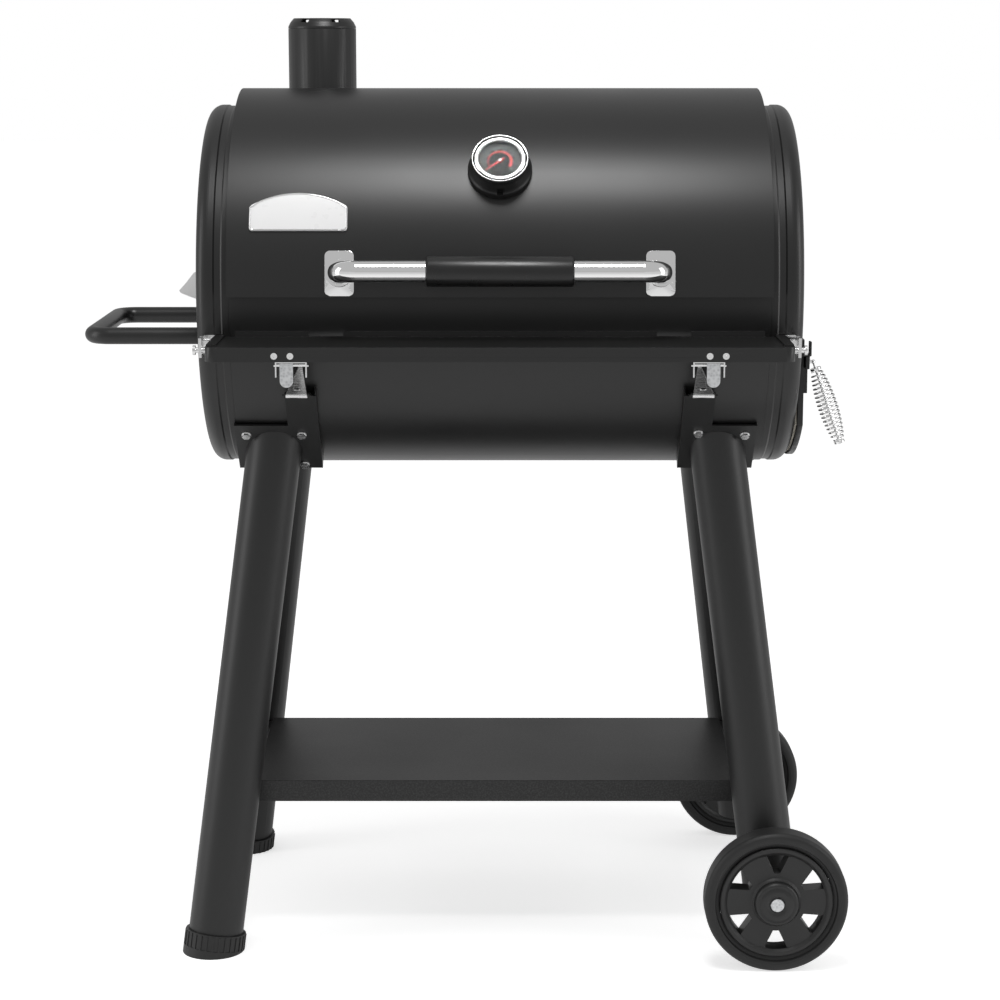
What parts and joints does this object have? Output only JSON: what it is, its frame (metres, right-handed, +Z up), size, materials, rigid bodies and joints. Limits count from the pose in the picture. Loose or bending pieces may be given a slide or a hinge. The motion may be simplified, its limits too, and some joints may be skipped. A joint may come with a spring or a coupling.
{
  "type": "barrel charcoal grill",
  "caption": "Horizontal barrel charcoal grill with hinged lid, chimney, front shelf, side handle, end door and splayed legs on wheels.",
  "frame": {"origin": "on the floor, in the middle of the overall footprint", "axes": "+Z up, the cook stands on the -Y side, the barrel lies along X with the side handle at -X and the wheels at +X"},
  "size_m": [1.055, 0.715, 1.291],
  "materials": {
    "black_coat": "satin black powder coat",
    "leg_coat": "satin black powder coat on tube",
    "stainless": "brushed stainless steel",
    "zinc_steel": "zinc plated steel",
    "chrome": "bright chrome plate",
    "grip_rubber": "smooth black rubber sleeve",
    "plate_metal": "bright blank nameplate",
    "damper_metal": "light plain aluminium",
    "dial_face": "matt black printed dial",
    "needle_red": "red enamel",
    "lens": "clear glass",
    "gasket": "woven heat-proof braid",
    "cast_iron": "matt enamelled cast iron",
    "pan_steel": "heat-proof dark coating",
    "ash_steel": "galvanised sheet",
    "foot_plastic": "ribbed black plastic",
    "tyre_black": "matt black tread",
    "rim_plastic": "moulded black plastic"
  },
  "bodies": {
    "frame": {"barrel_shell": "black_coat", "end_cap_left": "black_coat", "end_cap_right": "black_coat", "inner_ledges": "black_coat", "rack_hangers": "stainless", "side_handle": "black_coat", "frame_bolts": "stainless", "hinge_ears": "black_coat", "pivot_pins": "stainless", "door_hinge_bracket": "black_coat", "door_keeper": "black_coat", "end_plug": "black_coat", "shelf_hooks": "stainless", "leg_brackets": "black_coat", "legs_left": "leg_coat", "legs_right": "leg_coat", "foot_caps": "foot_plastic", "bottom_shelf": "black_coat", "bottom_shelf_lugs": "black_coat", "axle": "zinc_steel", "axle_nuts": "zinc_steel"},
    "lid": {"lid_shell": "black_coat", "lid_hinge_leaves": "black_coat", "handle_plates": "chrome", "handle_tube": "chrome", "handle_grip": "grip_rubber", "nameplate": "plate_metal", "gauge_housing": "black_coat", "gauge_dial": "dial_face", "gauge_lens": "lens", "gauge_bezel": "chrome", "gauge_stem": "stainless", "chimney_pipe": "black_coat", "chimney_vent_ring": "black_coat"},
    "needle": {"gauge_needle": "needle_red"},
    "crown": {"chimney_crown": "black_coat"},
    "damper": {"damper_disc": "damper_metal"},
    "door": {"side_door": "black_coat", "door_gasket": "gasket", "door_pins": "stainless"},
    "latch_lever": {"door_latch": "black_coat", "spring_rod": "stainless", "spring_coil": "stainless"},
    "grid_left": {"cooking_grid_left": "cast_iron"},
    "grid_middle": {"cooking_grid_middle": "cast_iron"},
    "grid_right": {"cooking_grid_right": "cast_iron"},
    "rack": {"warming_rack": "stainless"},
    "tray": {"charcoal_tray": "pan_steel"},
    "pan": {"ash_pan": "ash_steel"},
    "shelf": {"front_shelf": "black_coat", "shelf_bolts": "stainless", "latch_keepers": "stainless"},
    "tongue_left": {"latch_tongue_left": "zinc_steel"},
    "tongue_right": {"latch_tongue_right": "zinc_steel"},
    "strut_left": {"latch_strut_left": "stainless"},
    "strut_right": {"latch_strut_right": "stainless"},
    "wheel_front": {"tyre_front": "tyre_black", "rim_front": "rim_plastic"},
    "wheel_rear": {"tyre_rear": "tyre_black", "rim_rear": "rim_plastic"}
  },
  "joints": [
    {"name": "lid_hinge", "type": "hinge", "parent": "frame", "child": "lid", "pos_m": [0.05051, 0.3215, 0.912], "axis": [-1, 0, 0], "range_deg": [0, 85]},
    {"name": "needle_turn", "type": "hinge", "parent": "lid", "child": "needle", "pos_m": [0.05051, -0.2069, 1.1017], "axis": [0, 0.788, -0.6157], "range_deg": [0, 240]},
    {"name": "crown_turn", "type": "hinge", "parent": "lid", "child": "crown", "pos_m": [-0.2075, 0.1395, 1.277], "axis": [0, 0, 1], "range_deg": [0, 30]},
    {"name": "damper_turn", "type": "hinge", "parent": "frame", "child": "damper", "pos_m": [-0.3535, 0.0295, 0.832], "axis": [1, 0, 0], "range_deg": [0, 30]},
    {"name": "door_hinge", "type": "hinge", "parent": "frame", "child": "door", "pos_m": [0.46501, 0.2035, 0.807], "axis": [0, 0, 1], "range_deg": [0, 100]},
    {"name": "latch_turn", "type": "hinge", "parent": "door", "child": "latch_lever", "pos_m": [0.47051, -0.1235, 0.825], "axis": [1, 0, 0], "range_deg": [0, 60]},
    {"name": "grid_left_lift", "type": "slide", "parent": "frame", "child": "grid_left", "axis": [0, 0, 1], "range_m": [0, 0.08]},
    {"name": "grid_middle_lift", "type": "slide", "parent": "frame", "child": "grid_middle", "axis": [0, 0, 1], "range_m": [0, 0.08]},
    {"name": "grid_right_lift", "type": "slide", "parent": "frame", "child": "grid_right", "axis": [0, 0, 1], "range_m": [0, 0.08]},
    {"name": "rack_lift", "type": "slide", "parent": "frame", "child": "rack", "axis": [0, 0, 1], "range_m": [0, 0.06]},
    {"name": "tray_lift", "type": "slide", "parent": "frame", "child": "tray", "axis": [0, 0, 1], "range_m": [0, 0.07]},
    {"name": "pan_slide", "type": "slide", "parent": "frame", "child": "pan", "axis": [1, 0, 0], "range_m": [0, 0.06]},
    {"name": "shelf_lift", "type": "slide", "parent": "frame", "child": "shelf", "axis": [0, 0, 1], "range_m": [0, 0.03]},
    {"name": "wheel_front_spin", "type": "hinge", "parent": "frame", "child": "wheel_front", "pos_m": [0.429, -0.2705, 0.0985], "axis": [0, 1, 0], "continuous": true},
    {"name": "wheel_rear_spin", "type": "hinge", "parent": "frame", "child": "wheel_rear", "pos_m": [0.429, 0.3295, 0.0985], "axis": [0, 1, 0], "continuous": true},
    {"name": "tongue_left_turn", "type": "hinge", "parent": "shelf", "child": "tongue_left", "pos_m": [-0.21899, -0.3475, 0.846], "axis": [-1, 0, 0], "range_deg": [0, 50]},
    {"name": "strut_left_turn", "type": "hinge", "parent": "frame", "child": "strut_left", "pos_m": [-0.22299, -0.2205, 0.789], "axis": [1, 0, 0], "range_deg": [0, 80]},
    {"name": "tongue_right_turn", "type": "hinge", "parent": "shelf", "child": "tongue_right", "pos_m": [0.32, -0.3475, 0.846], "axis": [-1, 0, 0], "range_deg": [0, 50]},
    {"name": "strut_right_turn", "type": "hinge", "parent": "frame", "child": "strut_right", "pos_m": [0.324, -0.2205, 0.789], "axis": [1, 0, 0], "range_deg": [0, 80]}
  ]
}
